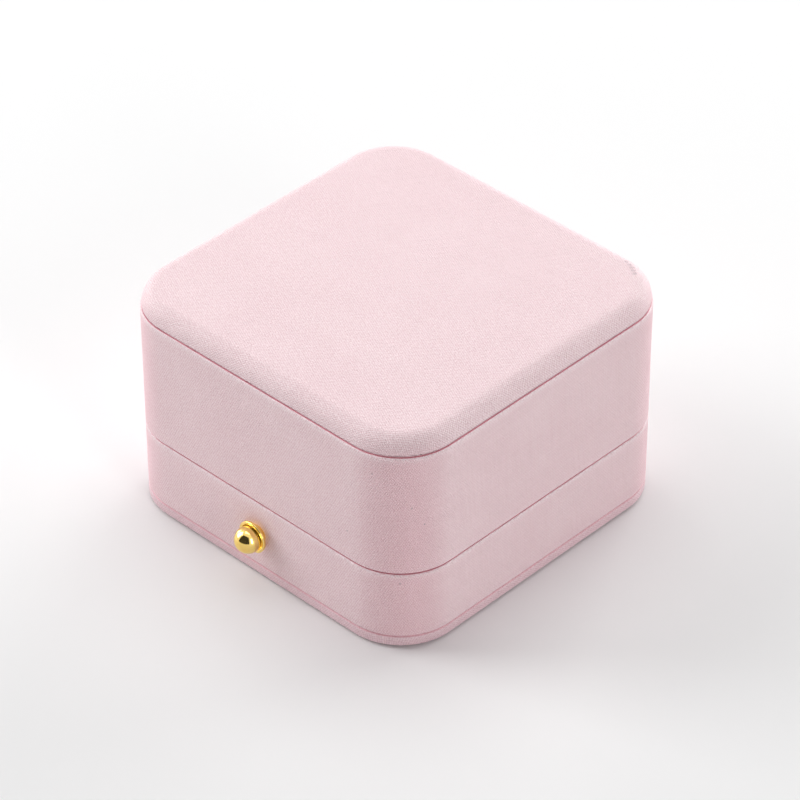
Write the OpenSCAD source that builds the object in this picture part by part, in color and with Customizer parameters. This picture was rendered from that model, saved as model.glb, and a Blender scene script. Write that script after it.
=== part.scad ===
// Hinged jewellery case: a round-cornered, fabric-covered box with a padded lid,
// a sprung rear hinge and a brass push button on the front of the base.
// Front is -Y, the hinge is at +Y, and the case stands on Z = 0.

/* [Case] */
// Width and depth of the covered case
case_w = 95; // [90:1:105]
// Height of the covered case
case_h = 61.3; // [58:0.1:68]
// Radius of the upright corners
corner_r = 15.8; // [14:0.1:20]
// Height of the parting line between base and lid
parting_z = 22.2; // [21.5:0.1:24]
// Height of the seam between the lid wall and the padded top
top_seam_z = 56.1; // [54:0.1:57]
// Height of the seam between the base wall and the bottom plate
bottom_seam_z = 3.5; // [3.2:0.1:3.8]

/* [Boards and skins] */
// Thickness of the wall boards
wall_t = 3; // [2.5:0.1:3.2]
// Thickness of the outer cover
skin_t = 0.7; // [0.5:0.1:0.8]
// Thickness of the inner lining
lining_t = 0.5; // [0.3:0.1:0.6]
// Gap between the two rims when closed
rim_gap = 0.3; // [0.1:0.05:0.4]
// Radius of the rounded edge of the padded top
pad_edge_r = 4; // [3:0.1:4.4]
// Thickness of the felt underneath
felt_t = 0.4; // [0.3:0.1:0.6]

/* [Insert] */
// Height of the insert's upper face
insert_top_z = 17.8; // [16:0.1:18.5]
// Radius of the two ring rolls
roll_r = 5; // [4:0.1:6]
// Length of the two ring rolls
roll_len = 40; // [30:1:50]

/* [Push button] */
// Height of the push button's axis
button_z = 12.9; // [11.5:0.1:13.1]
// Radius of the button's ball
ball_r = 3.4; // [3:0.05:3.5]
// Travel of the button
button_travel = 0.8; // [0.6:0.1:0.9]
// Radius of the bezel's flange
bezel_r = 4.2; // [4.1:0.1:5]

/* [Hinge] */
// Length of the hinge
hinge_len = 46; // [40:1:50]
// Radius of the hinge pin
pin_r = 0.75; // [0.6:0.05:0.8]
// Outer radius of the knuckles
knuckle_r = 1.6; // [1.5:0.05:1.7]
// Opening angle at which the hinge's lugs meet
open_angle = 100; // [90:1:105]

/* [Hidden] */
$fn = 72;

pink = [0.87, 0.74, 0.76];
blush = [0.93, 0.88, 0.85];
greyboard = [0.62, 0.58, 0.53];
foam_white = [0.93, 0.92, 0.88];
brass = [0.86, 0.68, 0.28];
steel = [0.72, 0.73, 0.75];

eps = 0.01; // overreach of cutters
half = case_w / 2;
wall_in = skin_t + wall_t; // inset of the boards' inner faces
room_in = wall_in + lining_t; // inset of the lined room
base_top = parting_z - rim_gap / 2;
lid_bottom = parting_z + rim_gap / 2;

plate_skin_t = 0.6; // cover of the bottom plate
plate_flange = 6; // width of the cover turned onto the plate's upper face
plate_edge_r = 1; // rolled edge of the bottom plate

foot_in = 5; // inset of the felt
pad_in = 0.4; // inset of the padded top
top_board_t = 2.2;
pad_room = 0.05; // room between the padded top and the lid wall's cover
pad_roll_r = 0.7; // rolled lower edge of the padded top
top_foam_edge_r = 2;

insert_gap = 0.3; // room round the insert
insert_skin_t = 0.6;
insert_w = case_w - 2 * (room_in + insert_gap);
insert_r = corner_r - room_in - insert_gap;
roll_pitch = 2 * roll_r + 0.4; // distance between the rolls' axes
roll_z = insert_top_z - 2.3; // height of the rolls' axes
roll_room = 0.2; // room round the rolls
roll_end_r = 1.2; // rounded ends of the rolls
tab_w = 12;
tab_t = 0.25;

lid_pad_gap = 0.2;
lid_pad_w = case_w - 2 * (room_in + lid_pad_gap);
lid_pad_r = corner_r - room_in - lid_pad_gap;
lid_pad_low = top_seam_z - 4.5; // underside of the lid's inner pad
lid_pad_board_t = 1.8;
lid_pad_edge_r = 2.3;
lid_pad_foam_edge_r = 1.8;

front = -half; // outer face of the front wall
flange_front = 2.1; // distance of the bezel's front face from the wall
flange_back = 1.25; // distance of its rim's back edge from the wall
flare_low = 0.3; // where the bezel starts to flare out from its tube
ball_out = 3.15; // distance of the ball's centre from the wall at rest
ball_back = 2.05; // distance of the ball's cut-off back from the wall at rest
recess_r = ball_r + 0.06; // recess in the bezel that the ball's back goes into
recess_floor = ball_back - button_travel - 0.05;
stem_r = 1.5;
stem_bore_r = 1.56;
bezel_tube_r = 2.6;
room_front = front + room_in; // lined inner face of the front wall
nut_t = 0.9;
nut_back = room_front + nut_t;
clip_t = 0.4;
clip_r = 2.8;
clip_y = nut_back + 0.05;
leaf_y = clip_y + clip_t + 0.5; // front face of the latch spring
leaf_t = 0.4;
leaf_w = 7;
leaf_top = 20.6;
nose_z = 18.9; // underside of the latch spring's nose
nose_t = 0.8;
nose_w = 6;
tongue_y = room_front + 0.6; // front face of the strike's tongue
tongue_t = 0.7;
tongue_w = 11;
tongue_low = 17.6;
window_play = 0.3;
strike_low = parting_z + 2;
strike_high = parting_z + 9;
strike_rivet_pitch = 7;
housing_w = 16;
housing_back = room_front + 6.4;
housing_t = 0.6;
housing_top = insert_top_z - 0.2;
latch_rivet_y = leaf_y + 1.8;

axis_y = half; // the hinge axis lies in the back face, at the parting line
groove_r = knuckle_r + 0.3;
groove_len = hinge_len + 0.8;
bore_r = pin_r + 0.05;
leaf_plate_t = 0.6;
leaf_plate_h = 12;
leaf_plate_gap = 2; // distance of the leaf plates from the axis
leaf_plate_y = axis_y - skin_t - leaf_plate_t;
inner_end = 5; // inner end of the lid's knuckles
middle = 11.9; // where the lid's and the base's knuckles meet
knuckle_gap = 0.2;
lug_r = 2.4;
lug_lid = [20, 45]; // lid lug, in degrees from straight up towards the back
lug_base = [lug_lid[1] + open_angle + 1, lug_lid[1] + open_angle + 25];
hinge_rivet_r = 0.8;
hinge_rivet_x = [-17, -8, 8, 17];
hinge_rivet_drop = 8; // distance of the rivets from the axis
coil_turns = 7;
coil_r = 1.15; // radius of the coil's wire centre
wire_r = 0.2;
spring_half = 4.6; // half of the coil's length
pocket_half = 5;
pocket_depth = 1.7;
spring_leg = 4;

// ---- shapes that repeat ----

// Flat round-cornered square.
module rounded_square(w, r) {
    union() {
        square([w - 2 * r, w], center = true);
        square([w, w - 2 * r], center = true);
        for (x = [-1, 1], y = [-1, 1])
            translate([x * (w / 2 - r), y * (w / 2 - r)]) circle(r);
    }
}

// Round-cornered plate between two heights, inset from the case's outline.
module plate(inset, z0, z1) {
    translate([0, 0, z0]) linear_extrude(z1 - z0)
        rounded_square(case_w - 2 * inset, corner_r - inset);
}

// Round-cornered ring between two insets and two heights.
module ring(outer_in, inner_in, z0, z1) {
    difference() {
        plate(outer_in, z0, z1);
        plate(inner_in, z0 - 1, z1 + 1);
    }
}

// Carries a profile once round a square outline. The profile's x is the distance
// from the corner's centre and its y is the height.
module round_the_outline(w, r) {
    for (a = [0:90:270]) rotate(a) translate([w / 2 - r, w / 2 - r, 0]) {
        rotate_extrude(angle = 90) children();
        rotate([90, 0, 0]) linear_extrude(w - 2 * r) children();
    }
}

// Profile of a pad with a rounded upper edge (up = 1) or a rounded lower edge (up = -1).
module pad_profile(r, z0, z1, edge_r, up = 1) {
    flat_z = up > 0 ? z1 - edge_r : z0 + edge_r;
    union() {
        translate([0, z0]) square([r - edge_r, z1 - z0]);
        translate([0, up > 0 ? z0 : flat_z]) square([r, z1 - z0 - edge_r]);
        intersection() {
            translate([r - edge_r, flat_z]) circle(edge_r);
            translate([r - edge_r, z0]) square([edge_r, z1 - z0]);
        }
    }
}

// Block that fills the middle of a square outline between two heights.
module middle_block(w, r, z0, z1) {
    translate([0, 0, z0]) linear_extrude(z1 - z0) square(w - 2 * r, center = true);
}

// Solid pad with one rounded edge.
module soft_pad(w, r, z0, z1, edge_r, up = 1) {
    union() {
        round_the_outline(w, r) pad_profile(r, z0, z1, edge_r, up);
        middle_block(w, r, z0, z1);
    }
}

// Cylinder lying along X.
module bar_x(r, x0, x1) {
    translate([x0, 0, 0]) rotate([0, 90, 0]) cylinder(r = r, h = x1 - x0);
}

// Cylinder lying along Y.
module bar_y(r, y0, y1) {
    translate([0, y0, 0]) rotate([-90, 0, 0]) cylinder(r = r, h = y1 - y0);
}

// Box between two corners.
module block(lo, hi) {
    translate(lo) cube(hi - lo);
}

// Moves to the hinge axis.
module at_axis() {
    translate([0, axis_y, parting_z]) children();
}

// Room for the barrel.
module hinge_room() {
    at_axis() bar_x(groove_r, -groove_len / 2, groove_len / 2);
}

// Room for the spring's legs, in the middle of the hinge.
module spring_pocket() {
    at_axis() block([-pocket_half, -skin_t - pocket_depth, -spring_leg - 1],
                    [pocket_half, -skin_t, spring_leg + 1]);
}

// Shallow bed for a hinge leaf in a wall board. side is 1 in the lid, -1 in the base.
module leaf_bed(side) {
    at_axis() mirror([0, 0, side > 0 ? 0 : 1])
        block([-hinge_len / 2, -skin_t - leaf_plate_t, -eps],
              [hinge_len / 2, 1, leaf_plate_h + leaf_plate_gap]);
}

// Holes for the four rivets of one hinge leaf.
module rivet_row(side, r, y0, y1) {
    for (x = hinge_rivet_x)
        translate([x, 0, parting_z + side * hinge_rivet_drop]) bar_y(r, y0, y1);
}

// ---- bottom plate ----

module underside_felt() {
    color(blush) plate(foot_in, 0, felt_t);
}

module bottom_board() {
    color(greyboard) difference() {
        plate(plate_skin_t, felt_t + plate_skin_t, bottom_seam_z - plate_skin_t);
        translate([0, latch_rivet_y, felt_t + 1.2]) cylinder(r = 0.8, h = 5);
    }
}

// Cover of the bottom plate: a tray whose edge is turned onto the board's upper face.
module bottom_cover() {
    r = corner_r;
    low = felt_t + plate_skin_t;
    color(pink) union() {
        round_the_outline(case_w, r) difference() {
            intersection() {
                pad_profile(r, felt_t, bottom_seam_z, plate_edge_r, 1);
                pad_profile(r, felt_t, bottom_seam_z, plate_edge_r, -1);
            }
            translate([-1, low]) square([r - plate_skin_t + 1, bottom_seam_z - plate_skin_t - low]);
            translate([-1, low]) square([r - plate_flange + 1, bottom_seam_z]);
        }
        middle_block(case_w, r, felt_t, low);
    }
}

module floor_lining() {
    color(blush) difference() {
        plate(plate_flange, bottom_seam_z - plate_skin_t, bottom_seam_z);
        translate([0, latch_rivet_y, 0]) cylinder(r = 0.8, h = 5);
    }
}

// ---- base ----

module base_wall() {
    color(greyboard) difference() {
        ring(skin_t, wall_in, bottom_seam_z, base_top - skin_t);
        hinge_room();
        spring_pocket();
        leaf_bed(-1);
        rivet_row(-1, hinge_rivet_r, half - wall_in - 1, half + 1);
        translate([0, 0, button_z]) bar_y(bezel_tube_r, front - 1, front + wall_in + 1);
    }
}

// Outer cover of the base: it runs up the wall and over the rim.
module base_cover() {
    r = corner_r;
    color(pink) difference() {
        round_the_outline(case_w, r) union() {
            translate([r - skin_t, bottom_seam_z])
                square([skin_t, base_top - skin_t - bottom_seam_z]);
            translate([r - wall_in, base_top - skin_t]) square([wall_t, skin_t]);
            intersection() {
                translate([r - skin_t, base_top - skin_t]) circle(skin_t);
                translate([r - skin_t, base_top - skin_t]) square(skin_t);
            }
        }
        hinge_room();
        translate([0, 0, button_z]) bar_y(bezel_tube_r, front - 1, front + wall_in + 1);
    }
}

module base_lining() {
    color(blush) difference() {
        ring(wall_in, room_in, bottom_seam_z, base_top - skin_t);
        translate([0, 0, button_z]) bar_y(bezel_tube_r, front - 1, room_front + 1);
    }
}

// ---- insert ----

// Room in the insert for the latch housing, and for the ring rolls. A negative grow widens it.
module insert_rooms(grow) {
    block([-housing_w / 2 - 0.4 + grow, -half, 0],
          [housing_w / 2 + 0.4 - grow, housing_back + 0.4 - grow, case_h]);
    block([-roll_len / 2 - roll_room + grow, -roll_pitch / 2 - roll_r - roll_room + grow,
           roll_z - roll_r + grow],
          [roll_len / 2 + roll_room - grow, roll_pitch / 2 + roll_r + roll_room - grow, case_h]);
}

module insert_foam() {
    inset = room_in + insert_gap + insert_skin_t;
    color(foam_white) difference() {
        plate(inset, bottom_seam_z, insert_top_z - insert_skin_t);
        insert_rooms(-insert_skin_t);
    }
}

// Velvet over the insert's top, sides, latch recess and roll tray.
module insert_cover() {
    inset = room_in + insert_gap;
    color(blush) difference() {
        soft_pad(insert_w, insert_r, bottom_seam_z, insert_top_z, 0.6);
        insert_foam();
        insert_rooms(0);
    }
}

// Two padded rolls that grip a ring between them.
module ring_rolls() {
    color(blush) for (side = [-1, 1])
        translate([-roll_len / 2, side * roll_pitch / 2, roll_z]) rotate([0, 90, 0])
            rotate_extrude() union() {
                translate([0, roll_end_r]) square([roll_r, roll_len - 2 * roll_end_r]);
                square([roll_r - roll_end_r, roll_len]);
                for (y = [roll_end_r, roll_len - roll_end_r]) intersection() {
                    translate([roll_r - roll_end_r, y]) circle(roll_end_r);
                    square([roll_r + 1, roll_len]);
                }
            }
}

// Ribbon that goes down behind the insert and lies on its top.
module insert_pull_tab() {
    back = insert_w / 2;
    color(blush) union() {
        block([-tab_w / 2, back, bottom_seam_z + 5], [tab_w / 2, back + tab_t, insert_top_z + tab_t]);
        block([-tab_w / 2, back - 9, insert_top_z], [tab_w / 2, back, insert_top_z + tab_t]);
    }
}

// ---- lid ----

module lid_wall() {
    color(greyboard) difference() {
        ring(skin_t, wall_in, lid_bottom + skin_t, top_seam_z - skin_t);
        hinge_room();
        spring_pocket();
        leaf_bed(1);
        rivet_row(1, hinge_rivet_r, half - wall_in - 1, half + 1);
        strike_rivet_holes();
    }
}

// Outer cover of the lid wall: turned over both rims.
module lid_cover() {
    r = corner_r;
    color(pink) difference() {
        round_the_outline(case_w, r) union() {
            translate([r - skin_t, lid_bottom + skin_t])
                square([skin_t, top_seam_z - lid_bottom - 2 * skin_t]);
            for (z = [lid_bottom, top_seam_z - skin_t])
                translate([r - wall_in, z]) square([wall_t, skin_t]);
            intersection() {
                translate([r - skin_t, lid_bottom + skin_t]) circle(skin_t);
                translate([r - skin_t, lid_bottom]) square(skin_t);
            }
            intersection() {
                translate([r - skin_t, top_seam_z - skin_t]) circle(skin_t);
                translate([r - skin_t, top_seam_z - skin_t]) square(skin_t);
            }
        }
        hinge_room();
    }
}

module lid_lining() {
    color(blush) difference() {
        ring(wall_in, room_in, lid_bottom + skin_t, top_seam_z);
        strike_rivet_holes();
    }
}

module top_board() {
    color(greyboard) plate(pad_in + skin_t, top_seam_z + pad_room, top_seam_z + top_board_t);
}

module top_foam() {
    inset = pad_in + skin_t;
    color(foam_white) soft_pad(case_w - 2 * inset, corner_r - inset,
        top_seam_z + top_board_t, case_h - skin_t, top_foam_edge_r);
}

// Padded top's cover, with a rounded upper edge and a small roll at the seam.
module top_cover() {
    r = corner_r - pad_in;
    low = top_seam_z + pad_room;
    color(pink) union() {
        round_the_outline(case_w - 2 * pad_in, r) difference() {
            intersection() {
                pad_profile(r, low, case_h, pad_edge_r, 1);
                pad_profile(r, low, case_h, pad_roll_r, -1);
            }
            translate([-1, low - 1]) square([r - skin_t + 1, top_seam_z + top_board_t - low + 1]);
            translate([-1, 0]) pad_profile(r - skin_t + 1, top_seam_z + 1, case_h - skin_t, top_foam_edge_r);
        }
        middle_block(case_w, corner_r, case_h - skin_t, case_h);
    }
}

module lid_pad_board() {
    color(greyboard) plate(room_in + lid_pad_gap + lining_t, top_seam_z - lid_pad_board_t, top_seam_z);
}

module lid_pad_foam() {
    color(foam_white) soft_pad(lid_pad_w - 2 * lining_t, lid_pad_r - lining_t,
        lid_pad_low + lining_t, top_seam_z - lid_pad_board_t, lid_pad_foam_edge_r, -1);
}

module lid_pad_satin() {
    r = lid_pad_r;
    color(blush) union() {
        round_the_outline(lid_pad_w, r) difference() {
            pad_profile(r, lid_pad_low, top_seam_z, lid_pad_edge_r, -1);
            translate([-1, top_seam_z - lid_pad_board_t])
                square([r - lining_t + 1, lid_pad_board_t + 1]);
            translate([-1, 0]) pad_profile(r - lining_t + 1, lid_pad_low + lining_t, top_seam_z,
                lid_pad_foam_edge_r, -1);
        }
        middle_block(lid_pad_w, r, lid_pad_low, lid_pad_low + lining_t);
    }
}

// ---- hinge ----

// One knuckle between two stations on the axis, with the tab that joins it to its leaf.
module knuckle(x0, x1, side, r) {
    at_axis() difference() {
        union() {
            bar_x(knuckle_r, x0, x1);
            mirror([0, 0, side > 0 ? 0 : 1])
                block([x0, -skin_t - leaf_plate_t, 0], [x1, -skin_t, leaf_plate_gap + 1]);
        }
        bar_x(r, x0 - 1, x1 + 1);
    }
}

// Leaf plate let into the outer face of the board, under the cover.
module leaf_plate(side) {
    difference() {
        at_axis() mirror([0, 0, side > 0 ? 0 : 1])
            block([-hinge_len / 2, -skin_t - leaf_plate_t, leaf_plate_gap],
                  [hinge_len / 2, -skin_t, leaf_plate_gap + leaf_plate_h]);
        spring_pocket();
        rivet_row(side, hinge_rivet_r, half - wall_in - 1, half + 1);
    }
}

// Ring sector round the axis, from angle a[0] to a[1] measured from straight up towards the back.
module sector(r0, r1, a, x0, x1) {
    reach = 2 * r1;
    at_axis() translate([x0, 0, 0]) rotate([90, 0, 90]) linear_extrude(x1 - x0)
        difference() {
            intersection() {
                circle(r1);
                polygon([[0, 0], for (t = a) [reach * sin(t), reach * cos(t)]]);
            }
            circle(r0);
        }
}

module hinge_leaf_base() {
    color(steel) union() {
        leaf_plate(-1);
        for (s = [-1, 1]) {
            x = [s * (middle + knuckle_gap / 2), s * hinge_len / 2];
            knuckle(min(x), max(x), -1, pin_r);
            sector(knuckle_r - 0.1, lug_r, lug_base, min(x), max(x));
            y = [s * inner_end, s * (middle + 1)];
            sector(knuckle_r + 0.15, lug_r, lug_base, min(y), max(y));
        }
    }
}

module hinge_leaf_lid() {
    color(steel) union() {
        leaf_plate(1);
        for (s = [-1, 1]) {
            x = [s * inner_end, s * (middle - knuckle_gap / 2)];
            knuckle(min(x), max(x), 1, bore_r);
            sector(knuckle_r - 0.1, lug_r, lug_lid, min(x), max(x));
        }
    }
}

module hinge_pin() {
    color(steel) at_axis() bar_x(pin_r, -hinge_len / 2, hinge_len / 2);
}

// Wire centre of the torsion spring: a leg on the base, the coil, and a leg on the lid.
function coil_point(t) = [
    -spring_half + 2 * spring_half * t,
    -coil_r * cos(360 * coil_turns * t),
    coil_r * sin(360 * coil_turns * t)
];
coil_steps = coil_turns * 14;
spring_path = [
    [-spring_half, -coil_r, -spring_leg],
    for (i = [0:coil_steps]) coil_point(i / coil_steps),
    [spring_half, -coil_r, spring_leg]
];

// Sweeps a six-sided wire along a path.
module wire(path, r) {
    sides = 6;
    n = len(path);
    function unit(v) = v / norm(v);
    function ahead(i) = unit(path[min(i + 1, n - 1)] - path[max(i - 1, 0)]);
    function across(i) = unit(cross(ahead(i), [1, 0.02, 0.03]));
    function over(i) = cross(ahead(i), across(i));
    points = [
        for (i = [0:n - 1], k = [0:sides - 1])
            path[i] + r * (cos(360 * k / sides) * across(i) + sin(360 * k / sides) * over(i))
    ];
    skin = [
        for (i = [0:n - 2], k = [0:sides - 1])
            [i * sides + k, (i + 1) * sides + k,
             (i + 1) * sides + (k + 1) % sides, i * sides + (k + 1) % sides]
    ];
    ends = [[for (k = [0:sides - 1]) k], [for (k = [sides - 1:-1:0]) (n - 1) * sides + k]];
    polyhedron(points, concat(skin, ends), convexity = 10);
}

module hinge_spring() {
    color(steel) at_axis() wire(spring_path, wire_r);
}

module hinge_rivets_base() {
    color(steel) rivet_row(-1, hinge_rivet_r, half - wall_in, half - skin_t);
}

module hinge_rivets_lid() {
    color(steel) rivet_row(1, hinge_rivet_r, half - wall_in, half - skin_t);
}

// ---- push button and latch ----

// Turns a profile about the button's axis: the profile's x is the radius, and its y
// is the distance in front of the wall's outer face.
module button_turned() {
    translate([0, front, button_z]) rotate([90, 0, 0]) rotate_extrude() children();
}

module button_bezel() {
    edge = 0.25;
    color(brass) button_turned() difference() {
        union() {
            translate([0, -room_in - nut_t]) square([bezel_tube_r, room_in + nut_t + flare_low + eps]);
            polygon([[0, flare_low], [bezel_tube_r, flare_low], [bezel_r, flange_back],
                     [bezel_r, flange_front - edge], [0, flange_front - edge]]);
            translate([0, flange_front - edge - eps]) square([bezel_r - edge, edge + eps]);
            translate([bezel_r - edge, flange_front - edge]) circle(edge);
        }
        translate([-1, -room_in - nut_t - 1]) square([stem_bore_r + 1, room_in + nut_t + flange_front + 2]);
        translate([-1, recess_floor]) square([recess_r + 1, flange_front]);
    }
}

// Ball and stem turned in one piece. The ball is cut off just behind its widest circle.
module push_button() {
    stem_end = front - leaf_y + 0.05;
    color(brass) button_turned() union() {
        translate([0, stem_end]) square([stem_r, ball_back - stem_end + eps]);
        intersection() {
            translate([0, ball_out]) circle(ball_r);
            translate([0, ball_back]) square(3 * ball_r);
        }
    }
}

module bezel_nut() {
    color(steel) translate([0, 0, button_z]) difference() {
        translate([0, room_front, 0]) rotate([-90, 0, 0]) cylinder(r = 3.9, h = nut_t, $fn = 6);
        bar_y(bezel_tube_r, room_front - 1, nut_back + 1);
    }
}

module button_clip() {
    color(steel) translate([0, 0, button_z]) difference() {
        bar_y(clip_r, clip_y, clip_y + clip_t);
        bar_y(stem_r, clip_y - 1, clip_y + clip_t + 1);
        block([-0.7, clip_y - 1, -5], [0.7, clip_y + 2, 0]);
    }
}

// Flat spring: a foot on the floor, a blade behind the stem, and a nose in the strike.
module latch_spring() {
    color(steel) difference() {
        union() {
            block([-leaf_w / 2, leaf_y, bottom_seam_z], [leaf_w / 2, leaf_y + leaf_t, leaf_top]);
            block([-leaf_w / 2, leaf_y, bottom_seam_z],
                  [leaf_w / 2, latch_rivet_y + 1.7, bottom_seam_z + leaf_t]);
            block([-nose_w / 2, tongue_y - 0.1, nose_z], [nose_w / 2, leaf_y + eps, nose_z + nose_t]);
        }
        translate([0, latch_rivet_y, 0]) cylinder(r = 0.8, h = 10);
    }
}

module latch_rivet() {
    color(steel) translate([0, latch_rivet_y, 0]) union() {
        translate([0, 0, felt_t + 1.2]) cylinder(r = 0.8, h = bottom_seam_z + leaf_t - felt_t - 1.2);
        translate([0, 0, bottom_seam_z + leaf_t]) cylinder(r = 1.3, h = 0.5);
    }
}

// Open-topped cover over the nut, the clip and the latch spring.
module latch_housing() {
    color(blush) difference() {
        block([-housing_w / 2, room_front, bottom_seam_z], [housing_w / 2, housing_back, housing_top]);
        block([-housing_w / 2 + housing_t, room_front - 1, bottom_seam_z - 1],
              [housing_w / 2 - housing_t, housing_back - housing_t, housing_top - housing_t]);
        block([-housing_w / 2 + housing_t, room_front - 1, bottom_seam_z],
              [housing_w / 2 - housing_t, leaf_y + leaf_t + 1.2, housing_top + 1]);
    }
}

module strike_rivet_holes() {
    for (s = [-1, 1])
        translate([s * strike_rivet_pitch / 2, 0, (strike_low + strike_high) / 2])
            bar_y(hinge_rivet_r, front + skin_t + 0.5, room_front + 5);
}

// Plate on the lid's front wall, with a tongue and a window for the latch spring's nose.
module strike_plate() {
    color(brass) difference() {
        union() {
            block([-tongue_w / 2, room_front, strike_low], [tongue_w / 2, tongue_y + tongue_t, strike_high]);
            block([-tongue_w / 2, tongue_y, tongue_low], [tongue_w / 2, tongue_y + tongue_t, strike_low]);
        }
        block([-nose_w / 2 - window_play, tongue_y - 1, nose_z - window_play],
              [nose_w / 2 + window_play, tongue_y + 2, nose_z + nose_t + window_play]);
        strike_rivet_holes();
    }
}

module strike_rivets() {
    color(steel) for (s = [-1, 1])
        translate([s * strike_rivet_pitch / 2, 0, (strike_low + strike_high) / 2]) union() {
            bar_y(hinge_rivet_r, front + skin_t + 0.5, tongue_y + tongue_t);
            bar_y(1.4, tongue_y + tongue_t, tongue_y + tongue_t + 0.4);
        }
}

underside_felt();
bottom_board();
bottom_cover();
floor_lining();
base_wall();
base_cover();
base_lining();
insert_foam();
insert_cover();
ring_rolls();
insert_pull_tab();
lid_wall();
lid_cover();
lid_lining();
top_board();
top_foam();
top_cover();
lid_pad_board();
lid_pad_foam();
lid_pad_satin();
hinge_leaf_base();
hinge_leaf_lid();
hinge_pin();
hinge_spring();
hinge_rivets_base();
hinge_rivets_lid();
button_bezel();
push_button();
bezel_nut();
button_clip();
latch_spring();
latch_rivet();
latch_housing();
strike_plate();
strike_rivets();
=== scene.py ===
"""Looks of the hinged jewellery case: woven leatherette covers, padded lid, velvet room, brass button.

Lengths are in metres, and the case stands on z = 0 with its front towards -y. A profile is a list of
(inset, z): how far a point lies inside an outline, and how high. UV maps are in millimetres of cloth.
"""

import math

import bmesh
import bpy
import numpy as np
from mathutils import Matrix, Vector


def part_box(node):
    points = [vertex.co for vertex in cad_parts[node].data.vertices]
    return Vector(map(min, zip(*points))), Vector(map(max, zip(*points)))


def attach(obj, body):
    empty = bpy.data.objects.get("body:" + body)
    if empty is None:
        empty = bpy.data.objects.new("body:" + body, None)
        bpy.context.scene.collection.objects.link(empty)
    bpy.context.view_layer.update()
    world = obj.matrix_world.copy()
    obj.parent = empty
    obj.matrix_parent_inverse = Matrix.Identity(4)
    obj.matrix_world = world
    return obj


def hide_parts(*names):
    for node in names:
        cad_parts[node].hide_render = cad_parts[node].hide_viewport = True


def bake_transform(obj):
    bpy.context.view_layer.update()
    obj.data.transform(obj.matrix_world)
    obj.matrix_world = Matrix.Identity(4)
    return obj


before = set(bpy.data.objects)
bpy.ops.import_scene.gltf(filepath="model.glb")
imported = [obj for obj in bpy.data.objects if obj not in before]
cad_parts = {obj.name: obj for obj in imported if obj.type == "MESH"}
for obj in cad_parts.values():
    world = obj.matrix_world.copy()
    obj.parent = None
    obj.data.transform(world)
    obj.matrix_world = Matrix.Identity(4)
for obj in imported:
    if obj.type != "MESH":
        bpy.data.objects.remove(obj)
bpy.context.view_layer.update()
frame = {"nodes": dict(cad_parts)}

MM = 0.001

# ---- sizes: the frame's own, and the few that the CAD boxes don't tell ----


def low(node):
    """Lowest corner of a CAD node."""
    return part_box(node)[0]


def high(node):
    """Highest corner of a CAD node."""
    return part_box(node)[1]


HALF_W = high("base_cover").x
CORNER_R = 15.8 * MM  # of the walls, seen from above
BASE_LOW = low("base_cover").z
BASE_RIM = high("base_cover").z
LID_RIM = low("lid_cover").z
LID_TOP = high("lid_cover").z
PARTING = (BASE_RIM + LID_RIM) / 2
TOP_LOW = low("top_cover").z
TOP_HIGH = high("top_cover").z
TOP_INSET = HALF_W - high("top_cover").x
PLATE_LOW = low("bottom_cover").z
PLATE_HIGH = high("bottom_cover").z
LINING_OUT = HALF_W - high("lid_lining").x  # inset of the linings' outer faces
LINING_T = 0.5 * MM
SKIN = 0.7 * MM  # thickness of the walls' covers
RIM_R = 0.55 * MM  # round where a cover turns in over a rim
GROOVE_R = 1.84 * MM  # room round the hinge's knuckles
GROOVE_HALF = high("hinge_pin").x + 0.38 * MM
FRONT = -HALF_W
BUTTON_Z = (low("button_bezel").z + high("button_bezel").z) / 2
BALL_BACK = 2.05 * MM  # distance of the ball's cut-off back from the wall
BUTTON_TRAVEL = 0.8 * MM
STEM_R = 1.5 * MM

SIDE_STEPS = 60  # of the mesh, along a straight side
CORNER_STEPS = 36  # of the mesh, round a corner
EDGE_REACH = 0.45 * MM  # how far the pale band of a rim, wear and painted highlight, reaches over the cloth


# ---- meshes ----


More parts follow.
